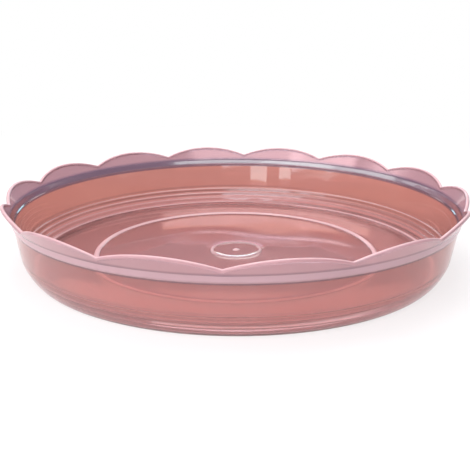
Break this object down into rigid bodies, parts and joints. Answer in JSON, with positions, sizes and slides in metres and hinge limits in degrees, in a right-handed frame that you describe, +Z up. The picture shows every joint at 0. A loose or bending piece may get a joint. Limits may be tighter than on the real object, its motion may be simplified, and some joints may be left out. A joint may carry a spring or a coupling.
{
  "type": "plant saucer",
  "caption": "Round see-through plastic saucer with a flared, scalloped rim and a stepped inner corner, which catches water under a plant pot.",
  "frame": {"origin": "on the saucer's axis, in the plane of the foot's flat underside", "axes": "+Z up along the saucer's axis, +X through the middle of a petal, +Y through a valley between two petals"},
  "size_m": [0.255, 0.2522, 0.039],
  "materials": {
    "clear_plastic": "see-through gloss with a rose cast"
  },
  "bodies": {
    "root": {"saucer": "clear_plastic"}
  },
  "joints": []
}
